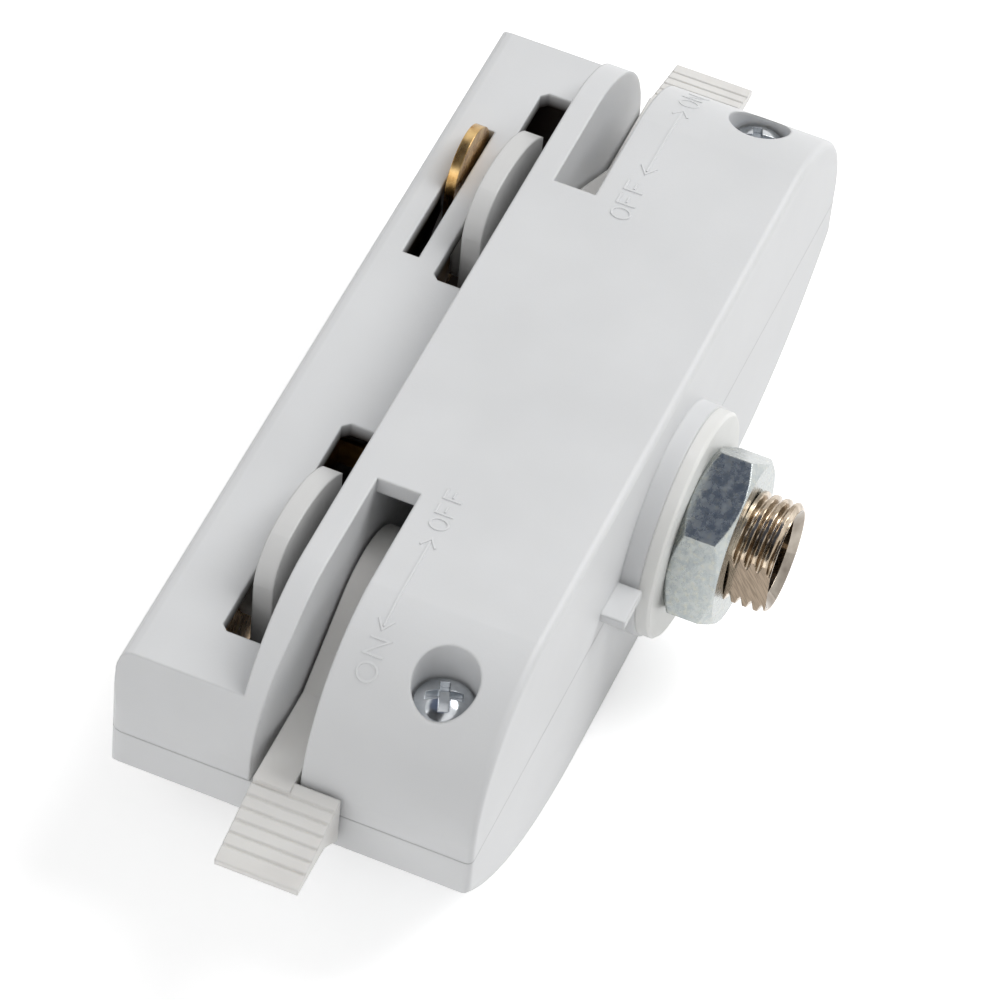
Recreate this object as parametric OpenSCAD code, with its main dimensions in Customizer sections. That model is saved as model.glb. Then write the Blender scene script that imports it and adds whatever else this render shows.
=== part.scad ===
// Two-wire track light adapter, lying on its side.
// X runs along the body, +Y points into the track, +Z points out of the side with the lever slots.
// The origin is where the nipple's axis meets the shoulder that seats against the track.

/* [Body] */
// Length from end to end at the parting line
body_len = 83.6; // [79:0.2:92]
// Width across the two flat sides
body_w = 29.2; // [28:0.2:34]
// Depth from the shoulder to the face that carries the nipple
shoulder_depth = 21.5; // [20.5:0.5:28]
// Radius of the upper shell's rounded ends
upper_end_r = 13.2; // [11:0.1:13.6]
// Radius of the lower shell's long sweep up to its ends
lower_sweep_r = 35; // [28:1:60]
// Straight part of the lower shell's end wall
lower_wall_h = 4; // [3:0.5:6]
// Rounding of the edge round the nipple face
edge_r = 0.6; // [0.4:0.1:2]
// Wall of the main body
wall = 1.8; // [1.2:0.1:2.4]

/* [Tongue] */
// Width of the tongue that enters the track
tongue_w = 16.4; // [15.6:0.2:20]
// Height of the tongue above the shoulder
tongue_h = 11.1; // [10.6:0.1:14]
// Rounding along the tongue's edges
tongue_round = 1.1; // [0.4:0.1:1.4]
// Wall of the tongue
tongue_wall = 1.5; // [1:0.1:1.7]

/* [Levers] */
// Distance of each turning axis from its end of the body
pivot_inset = 20; // [19.6:0.1:21]
// Radius of the lever's hub
hub_r = 8.2; // [7:0.1:10]
// Width of the lever's arm
arm_w = 5.4; // [4.8:0.1:6]
// Distance from the axis at which the ramp meets the arm
ramp_x = 11.5; // [10.5:0.1:12.2]
// Thickness of the lever
lever_t = 3.3; // [2.6:0.1:4.5]
// Play on each side of the lever in its slot
lever_side = 0.3; // [0.2:0.05:0.6]
// Thickness of the fin between the shoulder and the slot
fin_t = 2.25; // [1.8:0.05:3]
// Widening of the near slot at its mouth, cut from the fin
mouth_flare = 0.6; // [0.2:0.05:0.9]
// Length over which the slot widens
mouth_len = 6; // [3:0.5:8]
// Length of the finger tab
tab_len = 8.3; // [6:0.1:12]
// Width of the finger tab
tab_w = 7.4; // [5:0.1:9]
// Thickness of the tab at its tip
tip_t = 0.6; // [0.4:0.1:1.2]
// Length of the gusset under the tab
gusset_len = 2.9; // [1.5:0.1:4]
// Number of finger grooves on the tab
grooves = 6; // [3:1:8]
// Radius of each finger groove
groove_r = 0.14; // [0.1:0.02:0.4]

/* [Lock feet] */
// Radius of the foot's outer arc
foot_r = 13.2; // [12.2:0.1:13.6]
// Offset of that arc towards the foot's long end
foot_shift = 2.9; // [2:0.1:3.4]
// Rounding of the foot's long end
foot_nose = 4; // [3:0.1:4.4]
// Reach of the foot's long end from the axis
foot_lead = 8.1; // [7:0.1:8.1]
// Reach of the foot's square end from the axis
foot_heel = 5.9; // [4.5:0.1:6.5]
// Thickness of the foot
foot_t = 1.8; // [1.4:0.1:2.2]
// Gap between shoulder and foot for the lip of the track
lip_gap = 2; // [1.4:0.1:2.4]
// Radius of the shaft in the fin
shaft_r = 3.2; // [3.15:0.05:3.6]
// Radius of the journal at the shaft's inner end
journal_r = 2.1; // [1.6:0.1:2.2]
// Square drive between shaft and lever
drive = 4.4; // [4.2:0.1:4.4]

/* [Contacts] */
// Thickness of the brass blades
contact_t = 0.9; // [0.6:0.1:1]
// Radius of the blade's round finger
contact_r = 4; // [3.4:0.1:4.3]
// Distance of the finger's centre from the axis
contact_out = 7.3; // [6.4:0.1:7.6]
// Offset of the finger to the side
contact_lean = 1.7; // [1:0.1:2]
// Radius of the blade's hub
contact_hub_r = 4.4; // [4:0.1:5]
// Height of the blade above the foot
contact_rise = 3.15; // [2.6:0.05:3.2]
// Thickness of the brass wiper strips
strip_t = 0.5; // [0.3:0.1:0.6]
// Width of the brass wiper strips
strip_w = 3; // [2:0.2:4]

/* [Terminals] */
// Length of a terminal block along X
block_x = 6; // [5:0.2:7.5]
// Depth of a terminal block along Y
block_y = 5.8; // [5:0.2:6.4]
// Height of a terminal block
block_z = 8; // [6:0.2:10]
// Hole for the wire
wire_d = 2.6; // [1.6:0.1:3.2]
// Thread of the clamping screw
clamp_d = 2.5; // [2:0.1:3]

/* [Nipple and nuts] */
// Outside diameter of the threaded nipple
nipple_d = 10; // [9:0.1:10.5]
// Pitch of the thread on the nipple
thread_pitch = 1; // [0.75:0.05:1.25]
// Bore of the nipple
nipple_bore = 7.5; // [6:0.1:7.7]
// Length of nipple beyond the lock nut
nipple_out = 3.8; // [3:0.1:15]
// Depth of the flat ground on the nipple
flat_cut = 0.9; // [0.3:0.1:0.9]
// Size across the flats of both nuts
nut_af = 14.5; // [13:0.5:16]
// Thickness of the lock nut
nut_t = 4.5; // [3:0.1:6]
// Thickness of the inner nut
inner_nut_t = 3; // [2:0.1:3.2]
// Turn of the lock nut from level
nut_turn = 16.8; // [0:0.1:60]
// Diameter of the collar washer
washer_d = 20.6; // [18:0.2:23]
// Thickness of the collar washer
washer_t = 1.3; // [0.8:0.1:2.5]
// Diameter of the boss under the washer
boss_d = 21; // [18:0.2:26]
// Height of the boss
boss_h = 1.7; // [1:0.1:3]

/* [Case screws] */
// Distance of each screw from its end of the body
screw_inset = 6.9; // [5.8:0.1:7.8]
// Depth of the screws behind the shoulder
screw_depth = 15.4; // [13:0.1:16.5]
// Thread of the screws
screw_d = 3; // [2.5:0.1:3.4]
// Diameter of the screw heads
head_d = 5; // [4.6:0.1:5.2]
// Height of the screw heads
head_h = 2; // [1.6:0.1:2.4]
// Length of the screws under the head
screw_len = 15; // [11:0.5:15.5]
// Diameter of the recesses over the heads
recess_d = 5.6; // [5.4:0.1:7]
// Depth of the head's seat below the flat side
seat_sink = 5.3; // [4.6:0.1:6]

/* [Hidden] */
$fn = 96;

// Clearances
run_gap = 0.05;
fit_gap = 0.05;
thread_gap = 0.05;
stop_gap = 0.15;
sweep_gap = 0.35;
foot_slot_end = 0.3;
foot_slot_side = 0.9;
blade_side = 0.34;
blade_end = 0.35;
blade_trail = 1.5;
brush_gap = 0.1;
// Lets the end arcs cross the flats instead of only touching them
end_ease = 0.02;
// Overlap of cuts and joined pieces
over = 1;

// Outline
half_len = body_len / 2;
half_w = body_w / 2;
pivot_x = half_len - pivot_inset;
screw_x = half_len - screw_inset;
flat_half = half_len - upper_end_r;
arc_z = half_w - upper_end_r;
sweep_rise = lower_sweep_r - half_w;
sweep_angle = acos((sweep_rise + lower_wall_h) / lower_sweep_r);
low_flat = half_len - lower_sweep_r * sin(sweep_angle);
span = 2 * body_len;

// Lever slots
slot_w = lever_t + 2 * lever_side;
slot_in = pivot_x - arm_w / 2 - stop_gap;
slot_end = fin_t + slot_w;
roof_t = 1.4;
pocket_r = half_w - roof_t;
hub_gap = 0.4;
lever_front = fin_t + lever_side;
lever_back = lever_front + lever_t;
tab_root = norm([flat_half - pivot_x, arc_z]) + upper_end_r + sweep_gap;
tab_under = 0.25;
tip_top = tip_t - tab_under;
ramp_angle = atan2(arm_w / 2, ramp_x) + acos(hub_r / norm([ramp_x, arm_w / 2]));
tab_slope = atan2(arm_w / 2 - tip_top, tab_len);

// Rounded end of the lock feet
nose_x = foot_lead - foot_nose;
nose_z = sqrt((foot_r - foot_nose) * (foot_r - foot_nose) - (nose_x - foot_shift) * (nose_x - foot_shift));
foot_reach = norm([nose_x, nose_z]) + foot_nose;

// Tongue hollows
inner_z = tongue_w / 2 - tongue_wall;
cavity_half = pivot_x + foot_reach + foot_slot_side;
foot_slot_half = sqrt(foot_reach * foot_reach - inner_z * inner_z) + foot_slot_end;
foot_slot_w = lip_gap + foot_t + foot_slot_side;
corner = 0.6;
contact_y = lip_gap + foot_t + contact_rise;
contact_reach = norm([contact_lean, contact_out]) + contact_r;
contact_slot_w = contact_t + 2 * blade_side;
blade_back = sqrt(contact_reach * contact_reach - inner_z * inner_z) + blade_trail;
blade_front = contact_lean + contact_r + blade_end;
stake_h = 0.75;
stake_r = 3.4;

// Wiring space
bearing_t = 1.85;
wiring_start = slot_end + bearing_t;
wiring_end = shoulder_depth - wall;
wiring_half = flat_half - wall;
wiring_high = half_w - wall;
wiring_low = half_w - 2 * wall;
passage_half = pivot_x - pocket_r - wall;
block_in = passage_half - over;
block_front = wiring_start + 1.2;
block_back = block_front + block_y;
clamp_head_r = clamp_d * 0.9;
clamp_head_h = 1.6;

// Nipple stack
boss_end = shoulder_depth + boss_h;
washer_end = boss_end + washer_t;
nut_end = washer_end + nut_t;
nipple_end = nut_end + nipple_out;
inner_nut_start = wiring_end - inner_nut_t;
nipple_start = inner_nut_start - 1;
nipple_r = nipple_d / 2;
grip_r = nipple_r - 0.325 * thread_pitch;
free_start = nut_end + 0.1;
nut_corner = nut_af / 2 / cos(30);
lug_x = washer_d / 2 + 0.4;
lug_len = 3.9;
lug_out = 2.2;
lug_top = 2.5;
lug_t = 0.9;
seat_z = half_w - seat_sink;

// Draws a profile in X and Z as a solid from y0 to y1
module along_y(y0, y1) {
    translate([0, y1, 0]) rotate([90, 0, 0]) linear_extrude(y1 - y0) children();
}

// Draws a profile in Z and depth behind the shoulder as a bar from x0 to x1
module along_x(x0, x1) {
    translate([x0, 0, 0]) rotate([180, -90, 0]) linear_extrude(x1 - x0) children();
}

// Draws a profile in X and depth behind the shoulder as a block from z0 to z1
module along_z(z0, z1) {
    translate([0, 0, z1]) rotate([180, 0, 0]) linear_extrude(z1 - z0) children();
}

// Turns a profile of radius and depth about an axis along Y
module turned(angle = 360) {
    rotate([90, 0, 0]) rotate_extrude(angle = angle) children();
}

// Puts a piece at both ends of the body, as mirror images
module both_ends() {
    for (side = [0, 1]) mirror([side, 0, 0]) children();
}

// Space above the parting plane
module above() {
    translate([-span, -span, 0]) cube([2 * span, 2 * span, span]);
}

// Space below the parting plane
module below() {
    mirror([0, 0, 1]) above();
}

// Half section of the main body out to a given reach, rounded at the nipple face
module skin_section(reach) {
    inner = reach - edge_r;
    straight = shoulder_depth - edge_r;
    polygon([[0, 0], [reach, 0], [reach, straight],
        for (a = [30, 60]) [inner + edge_r * cos(a), straight + edge_r * sin(a)],
        [inner, shoulder_depth], [0, shoulder_depth]]);
}

// Plan of the main body out to both ends
module skin_plan() {
    skin_section(half_len);
    mirror([1, 0]) skin_section(half_len);
}

// Main body above the parting plane
module upper_body() {
    deep = shoulder_depth + 2 * over;
    intersection() {
        along_x(-half_len, half_len) skin_section(half_w);
        along_z(0, half_w) skin_plan();
        union() {
            translate([-flat_half, -shoulder_depth - over, -over]) cube([2 * flat_half, deep, body_w]);
            translate([-body_len, -shoulder_depth - over, -over]) cube([2 * body_len, deep, arc_z + over]);
            both_ends() translate([flat_half, 0, arc_z]) turned() skin_section(upper_end_r + end_ease);
        }
    }
}

// Main body below the parting plane
module lower_body() {
    deep = shoulder_depth + 2 * over;
    intersection() {
        mirror([0, 0, 1]) along_x(-half_len, half_len) skin_section(half_w);
        along_z(-half_w, 0) skin_plan();
        union() {
            translate([-low_flat, -shoulder_depth - over, -body_w])
                cube([2 * low_flat, deep, body_w + over]);
            both_ends() translate([low_flat, 0, sweep_rise]) turned()
                skin_section(lower_sweep_r + end_ease);
        }
    }
}

// Outline of the ends seen along Y, above the parting plane
module upper_outline() {
    intersection() {
        translate([-half_len, 0]) square([body_len, half_w]);
        union() {
            translate([-flat_half, -over]) square([2 * flat_half, body_w]);
            translate([-body_len, -over]) square([2 * body_len, arc_z + over]);
            for (side = [-1, 1]) translate([side * flat_half, arc_z]) circle(upper_end_r + end_ease);
        }
    }
}

// Outline of the ends seen along Y, below the parting plane
module lower_outline() {
    translate([-low_flat, -half_w]) square([2 * low_flat, half_w]);
    intersection() {
        for (side = [-1, 1]) translate([side * low_flat, sweep_rise]) circle(lower_sweep_r);
        translate([-half_len, -half_w]) square([body_len, half_w]);
    }
}

// Section of the tongue with rounded edges, for a given half width
module tongue_section(half) {
    inner = half - tongue_round;
    straight = tongue_h - tongue_round;
    polygon([[-half, 0], [half, 0],
        for (a = [0 : 30 : 90]) [inner + tongue_round * cos(a), -straight - tongue_round * sin(a)],
        for (a = [90 : 30 : 180]) [-inner + tongue_round * cos(a), -straight - tongue_round * sin(a)]]);
}

// Tongue, cut to an outline of the ends
module tongue() {
    intersection() {
        along_y(0, tongue_h) children();
        along_x(-half_len, half_len) tongue_section(tongue_w / 2);
        along_z(-half_w, half_w) tongue_section(half_len);
    }
}

// Slot for a lock foot from the shoulder out to its width, its outer corners cut
module foot_slot_plan() {
    polygon([[-foot_slot_half, 0], [foot_slot_half, 0], [foot_slot_half, foot_slot_w - corner],
        [foot_slot_half - corner, foot_slot_w], [corner - foot_slot_half, foot_slot_w],
        [-foot_slot_half, foot_slot_w - corner]]);
}

// Narrow slot for a contact blade, which swings towards -X
module contact_slot_plan() {
    translate([-blade_back, -contact_slot_w / 2]) square([blade_back + blade_front, contact_slot_w]);
}

// Hollows that both shells share
module shell_hollows() {
    translate([-cavity_half, 0, -inner_z])
        cube([2 * cavity_half, tongue_h - tongue_wall, 2 * inner_z]);
    translate([-passage_half, -wiring_start - over, -inner_z])
        cube([2 * passage_half, wiring_start + 2 * over, 2 * inner_z]);
    translate([-wiring_half, -wiring_end, -wiring_low])
        cube([2 * wiring_half, wiring_end - wiring_start, wiring_low + wiring_high]);
    along_y(-boss_end - over, -wiring_end + over) circle(nipple_r + thread_gap);
    both_ends() translate([pivot_x, 0, 0]) {
        along_y(-fin_t - over, over) circle(shaft_r + run_gap);
        along_y(-wiring_start - over, over - slot_end) circle(journal_r + run_gap);
        along_y(-slot_end, -fin_t) circle(hub_r + hub_gap);
    }
}

// Openings for the lock feet on one side of the tongue
module foot_slots() {
    both_ends() translate([pivot_x, 0, 0]) linear_extrude(half_w) foot_slot_plan();
}

// Opening for a contact blade on the +Z side
module contact_slot() {
    translate([0, contact_y + contact_t / 2, 0]) linear_extrude(half_w) contact_slot_plan();
}

// Wedge cut from the fin where the near lever slot widens
module mouth_plan() {
    start = half_len - mouth_len;
    thin = fin_t - mouth_flare;
    polygon([[start, fin_t + over], [start, fin_t], [half_len, thin], [half_len + over, thin],
        [half_len + over, fin_t + over]]);
}

// Lever slots, with room for hub and ramp under the roof
module lever_slots() {
    both_ends() {
        translate([slot_in, -slot_end, 0]) cube([half_len, slot_w, body_w]);
        intersection() {
            translate([pivot_x, 0, 0]) along_y(-slot_end, -fin_t) circle(pocket_r);
            above();
        }
    }
}

// Half round boss under the collar washer
module boss() {
    along_y(-boss_end, over - shoulder_depth) circle(boss_d / 2);
}

module upper_shell() {
    color("gainsboro") {
        difference() {
            union() {
                upper_body();
                tongue() upper_outline();
                intersection() {
                    boss();
                    above();
                }
                translate([-lug_x - lug_len, -shoulder_depth - lug_out, lug_top - lug_t])
                    cube([lug_len, lug_out + over, lug_t]);
            }
            shell_hollows();
            foot_slots();
            translate([pivot_x, 0, 0]) contact_slot();
            lever_slots();
            mirror([1, 0, 0]) along_z(0, body_w) mouth_plan();
            both_ends() translate([screw_x, -screw_depth, 0]) {
                translate([0, 0, -over]) cylinder(r = screw_d / 2 + thread_gap, h = body_w);
                translate([0, 0, seat_z]) cylinder(r = recess_d / 2, h = body_w);
            }
        }
    }
}

module lower_shell() {
    color("gainsboro") {
        difference() {
            union() {
                lower_body();
                tongue() lower_outline();
                intersection() {
                    boss();
                    below();
                }
            }
            shell_hollows();
            mirror([0, 0, 1]) foot_slots();
            mirror([0, 0, 1]) translate([-pivot_x, 0, 0]) contact_slot();
            both_ends() {
                translate([pivot_x, -slot_end, -arm_w / 2 - stop_gap]) cube([half_len, slot_w, body_w]);
                translate([screw_x, -screw_depth, seat_z - screw_len - over])
                    cylinder(r = screw_d / 2 + thread_gap, h = body_w);
            }
        }
        both_ends() translate([block_in, -block_back, -wiring_low - over])
            cube([block_x, block_y, wiring_low + over - block_z / 2]);
    }
}

// Outline of a lever's hub, ramp and arm, with the arm towards +X
module lever_outline() {
    circle(hub_r);
    translate([0, -arm_w / 2]) square([tab_root + over, arm_w]);
    polygon([[0, 0], hub_r * [cos(ramp_angle), sin(ramp_angle)], [ramp_x, arm_w / 2], [ramp_x, 0]]);
}

// Outline of the wedge-shaped finger tab
module tab_outline() {
    polygon([[tab_root, arm_w / 2], [tab_root + tab_len, tip_top], [tab_root + tab_len, -tab_under],
        [tab_root + gusset_len, -tab_under], [tab_root, -arm_w / 2]]);
}

// Lever of the far end, in its ON position
module lever() {
    difference() {
        union() {
            along_y(-lever_back, -lever_front) lever_outline();
            along_y(-lever_front - tab_w, -lever_front) tab_outline();
        }
        along_y(-lever_back - over, over - lever_front) square(drive + 2 * fit_gap, center = true);
        translate([tab_root, 0, arm_w / 2]) rotate([0, tab_slope, 0])
            for (i = [1 : grooves])
                translate([i * tab_len / (grooves + 1), 0, 0])
                    along_y(-lever_front - tab_w - over, over - lever_front) circle(groove_r);
    }
}

module near_lever() {
    color("whitesmoke") mirror([1, 0, 0]) translate([pivot_x, 0, 0]) lever();
}

module far_lever() {
    color("whitesmoke") translate([pivot_x, 0, 0]) lever();
}

// One end of a lock foot: square at +X, long at -X
module foot_end() {
    intersection() {
        translate([-foot_shift, 0]) circle(foot_r);
        translate([-foot_lead, 0]) square([foot_lead + foot_heel, foot_r]);
        union() {
            translate([-nose_x, 0]) square([foot_lead + foot_heel, foot_r]);
            translate([-foot_lead, 0]) square([2 * foot_lead, nose_z]);
            translate([-nose_x, nose_z]) circle(foot_nose + end_ease);
        }
    }
}

// Lock foot with its shaft, drive square and contact seat
module foot() {
    along_y(lip_gap, lip_gap + foot_t) {
        foot_end();
        rotate(180) foot_end();
    }
    along_y(-lever_front, contact_y) circle(shaft_r);
    along_y(-lever_back, -lever_front) square(drive, center = true);
    along_y(-wiring_start, -lever_back) circle(journal_r);
    along_y(contact_y, contact_y + contact_t) square(drive, center = true);
    along_y(contact_y + contact_t, contact_y + contact_t + stake_h) circle(stake_r);
}

module near_foot() {
    color("gainsboro") translate([-pivot_x, 0, 0]) foot();
}

module far_foot() {
    color("gainsboro") translate([pivot_x, 0, 0]) foot();
}

// Brass blade with a round finger towards +Z
module contact() {
    along_y(contact_y, contact_y + contact_t) difference() {
        union() {
            circle(contact_hub_r);
            translate([contact_lean - contact_r, 0]) square([2 * contact_r, contact_out]);
            translate([contact_lean, contact_out]) circle(contact_r);
        }
        square(drive + 2 * fit_gap, center = true);
    }
}

module near_contact() {
    color("goldenrod") translate([-pivot_x, 0, 0]) rotate([0, 180, 0]) contact();
}

module far_contact() {
    color("goldenrod") translate([pivot_x, 0, 0]) contact();
}

// Folded strip from a terminal block up to the blade's hub
module wiper() {
    strip_top = contact_y - brush_gap;
    tip_x = pivot_x - shaft_r - 2 * brush_gap;
    leg_x = block_in - strip_t;
    translate([leg_x, -block_back, -strip_w / 2]) cube([strip_t, block_back + strip_top, strip_w]);
    translate([leg_x, strip_top - strip_t, -strip_w / 2]) cube([tip_x - leg_x, strip_t, strip_w]);
}

module near_wiper() {
    color("darkgoldenrod") mirror([1, 0, 0]) wiper();
}

module far_wiper() {
    color("darkgoldenrod") wiper();
}

// Terminal block with a wire hole and a clamping thread
module terminal() {
    difference() {
        translate([block_in, -block_back, -block_z / 2]) cube([block_x, block_y, block_z]);
        translate([block_in + block_x / 2, 0, -block_z / 4])
            along_y(-block_back - over, over - block_front) circle(wire_d / 2);
        translate([block_in + block_x / 2, -block_front - block_y / 2, -block_z / 4])
            cylinder(r = clamp_d / 2 + thread_gap, h = block_z);
    }
}

module near_terminal() {
    color("gold") mirror([1, 0, 0]) terminal();
}

module far_terminal() {
    color("gold") terminal();
}

// Slotted clamping screw of a terminal
module terminal_screw() {
    translate([block_in + block_x / 2, -block_front - block_y / 2, 0]) difference() {
        union() {
            translate([0, 0, wire_d / 2 - block_z / 4])
                cylinder(r = clamp_d / 2, h = block_z * 3 / 4 - wire_d / 2);
            translate([0, 0, block_z / 2]) cylinder(r = clamp_head_r, h = clamp_head_h);
        }
        translate([-clamp_head_r - over, -clamp_d / 8, block_z / 2 + clamp_head_h / 2])
            cube([2 * (clamp_head_r + over), clamp_d / 4, clamp_head_h]);
    }
}

module near_terminal_screw() {
    color("lightsteelblue") mirror([1, 0, 0]) terminal_screw();
}

module far_terminal_screw() {
    color("lightsteelblue") terminal_screw();
}

// Threaded tube with a wide inner chamfer and one ground flat
// Where the nuts grip it, it is drawn at the pitch radius of the thread
module nipple() {
    chamfer = 0.7;
    lead_in = 0.9;
    bore_r = nipple_bore / 2;
    color("silver") difference() {
        turned() polygon([[bore_r, nipple_start], [grip_r - chamfer, nipple_start],
            [grip_r, nipple_start + chamfer], [grip_r, free_start], [nipple_r, free_start],
            [nipple_r, nipple_end - chamfer],
            [nipple_r - chamfer / 2, nipple_end], [bore_r + lead_in, nipple_end],
            [bore_r, nipple_end - lead_in]]);
        translate([-nipple_r - over, -nipple_end - over, -nipple_r])
            cube([flat_cut + over, nipple_end - nipple_start + 2 * over, nipple_d]);
    }
}

// Hexagon nut between two depths, chamfered on both faces
module hex_nut(front, back) {
    face_r = nut_af / 2 - 0.1;
    chamfer = (nut_corner - face_r) * tan(35);
    difference() {
        intersection() {
            along_y(-back, -front) rotate(nut_turn) circle(nut_corner, $fn = 6);
            turned() polygon([[0, front], [face_r, front], [nut_corner, front + chamfer],
                [nut_corner, back - chamfer], [face_r, back], [0, back]]);
        }
        along_y(-back - over, over - front) circle(grip_r + thread_gap);
    }
}

module lock_nut() {
    color("lightsteelblue") hex_nut(washer_end, nut_end);
}

module inner_nut() {
    color("lightsteelblue") hex_nut(inner_nut_start, wiring_end);
}

module collar_washer() {
    rim = 0.25;
    washer_r = washer_d / 2;
    color("white") turned() polygon([[nipple_r + thread_gap, boss_end], [washer_r, boss_end],
        [washer_r, washer_end - rim], [washer_r - rim, washer_end], [nipple_r + thread_gap, washer_end]]);
}

// Pan-head screw with a cross recess, its head's seat at the origin
module case_screw() {
    dome_r = head_d * 0.7;
    cross_w = head_d * 0.17;
    cross_l = head_d * 0.62;
    color("silver") {
        mirror([0, 0, 1]) cylinder(r = screw_d / 2, h = screw_len);
        difference() {
            intersection() {
                cylinder(r = head_d / 2, h = head_h);
                translate([0, 0, head_h - dome_r]) sphere(dome_r);
            }
            for (turn = [0, 90])
                rotate(turn + 20) translate([-cross_l / 2, -cross_w / 2, head_h / 2])
                    cube([cross_l, cross_w, head_h]);
        }
    }
}

module near_case_screw() {
    translate([-screw_x, -screw_depth, seat_z]) case_screw();
}

module far_case_screw() {
    translate([screw_x, -screw_depth, seat_z]) case_screw();
}

upper_shell();
lower_shell();
near_lever();
far_lever();
near_foot();
far_foot();
near_contact();
far_contact();
near_wiper();
far_wiper();
near_terminal();
far_terminal();
near_terminal_screw();
far_terminal_screw();
nipple();
lock_nut();
inner_nut();
collar_washer();
near_case_screw();
far_case_screw();
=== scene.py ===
"""Looks of a two-wire track light adapter that lies on its side on a white floor.

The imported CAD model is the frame. Every sub-assembly is a class that dresses its CAD nodes and
adds the fine pieces that only the picture needs. Lengths in the fields are millimetres, in the
frame of the CAD model: +X along the body, +Y into the track, +Z out of the side with the levers.
"""

import logging
import math
from dataclasses import dataclass, field
from enum import Enum
from typing import Iterable, Sequence

import bpy
from mathutils import Matrix, Vector


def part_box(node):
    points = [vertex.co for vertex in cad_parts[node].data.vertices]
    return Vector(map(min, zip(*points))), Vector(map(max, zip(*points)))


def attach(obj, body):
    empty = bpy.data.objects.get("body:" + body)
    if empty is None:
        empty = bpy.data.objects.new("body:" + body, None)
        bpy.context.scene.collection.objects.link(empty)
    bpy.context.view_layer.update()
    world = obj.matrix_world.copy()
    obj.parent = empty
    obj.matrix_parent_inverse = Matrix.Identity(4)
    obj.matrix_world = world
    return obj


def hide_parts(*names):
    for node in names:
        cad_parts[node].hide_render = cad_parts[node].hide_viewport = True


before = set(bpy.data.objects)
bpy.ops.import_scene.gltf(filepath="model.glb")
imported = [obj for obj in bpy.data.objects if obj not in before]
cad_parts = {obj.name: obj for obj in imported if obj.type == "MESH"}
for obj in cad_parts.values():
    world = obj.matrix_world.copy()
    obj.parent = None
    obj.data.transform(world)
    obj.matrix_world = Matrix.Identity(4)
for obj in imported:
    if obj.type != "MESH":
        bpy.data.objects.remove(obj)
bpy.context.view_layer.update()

logging.basicConfig(level=logging.INFO, format="%(levelname)s %(name)s: %(message)s")
log = logging.getLogger("adapter")

MM = 0.001
UP = (0.0, 0.0, 1.0)
WHITE = "ffffff"
HOUSING = "housing"

# Fineness of the noise in a finish's patches, grain and stains
PATCH_DETAIL = 3.0
GRAIN_DETAIL = 2.0
STAIN_DETAIL = 4.0
# Values of a noise pattern between which its two tones blend
PATTERN_LOW = 0.35
PATTERN_HIGH = 0.65
# Rays that look for an edge to soften
EDGE_SAMPLES = 6
# Sockets of a Mix node for colours, which share their names with those for numbers
MIX_FACTOR = 0
MIX_BELOW = 6
MIX_OVER = 7
MIX_COLOUR = 2

Point = tuple[float, float, float]
Face = tuple[int, ...]
Spot = tuple[float, float]
Section = tuple[Vector, Vector]
Socket = bpy.types.NodeSocket
Tree = bpy.types.NodeTree
Layer = tuple[Socket, str]


class End(Enum):
    """Ends of the adapter, by the word that starts the names of their nodes."""

    NEAR = "near"
    FAR = "far"

    def node(self, piece: str) -> str:
        """Name of the node that holds this end's piece."""
        return f"{self.value}_{piece}"


class Slot(Enum):
    """Material slots of the record."""

    SHELL = "shell_plastic"
    LEVER = "lever_plastic"
    WASHER = "washer_plastic"
    BRASS = "brass"
    ZINC = "zinc_steel"
    NICKEL = "nickel_steel"


def linear(hex_code: str) -> tuple[float, float, float, float]:
    """Turns an sRGB hex code into a linear colour.

    Args:
        hex_code: Six hex digits, such as "d9dadc".

    Returns:
        Linear red, green, blue and an alpha of 1.
    """
    parts = [int(hex_code[i : i + 2], 16) / 255 for i in (0, 2, 4)]
    values = [c / 12.92 if c <= 0.04045 else ((c + 0.055) / 1.055) ** 2.4 for c in parts]
    return (values[0], values[1], values[2], 1.0)


def per_mm(size_mm: float) -> float:
    """Texture scale that gives features of a real size on coordinates in metres.

    Args:
        size_mm: Size of one feature of the pattern.

    Returns:
        The value for a texture's Scale socket.
    """
    return 1.0 / (size_mm * MM)


def blank_tree(owner: bpy.types.Material | bpy.types.World) -> Tree:
    """Gives a material or a world an empty node tree.

    Args:
        owner: The material or the world.

    Returns:
        Its tree.
    """
    owner.use_nodes = True
    owner.node_tree.nodes.clear()
    return owner.node_tree


def add_node(
    tree: Tree, kind: str, inputs: dict[str | int, object] | None = None, **settings: object
) -> bpy.types.Node:
    """Adds one node with its settings and links.

    Args:
        tree: Tree to add to.
        kind: Blender's type name of the node.
        inputs: What goes into its inputs, by name or index: a socket to link, or a constant.
        **settings: Properties of the node itself.

    Returns:
        The new node.
    """
    node = tree.nodes.new(kind)
    for key, value in settings.items():
        setattr(node, key, value)
    for key, value in (inputs or {}).items():
        if isinstance(value, Socket):
            tree.links.new(value, node.inputs[key])
        else:
            node.inputs[key].default_value = value
    return node


def two_tone(tree: Tree, pattern: Socket, deep: str, pale: str) -> Socket:
    """Colours a pattern from a deep to a pale tone.

    Args:
        tree: Tree to add to.
        pattern: Pattern with values from 0 to 1.
        deep: Hex colour of its low parts.
        pale: Hex colour of its high parts.

    Returns:
        The colour.
    """
    middle = {"Value": pattern, "From Min": PATTERN_LOW, "From Max": PATTERN_HIGH}
    share = add_node(tree, "ShaderNodeMapRange", middle).outputs["Result"]
    tones = {MIX_FACTOR: share, MIX_BELOW: linear(deep), MIX_OVER: linear(pale)}
    return add_node(tree, "ShaderNodeMix", tones, data_type="RGBA").outputs[MIX_COLOUR]


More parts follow.
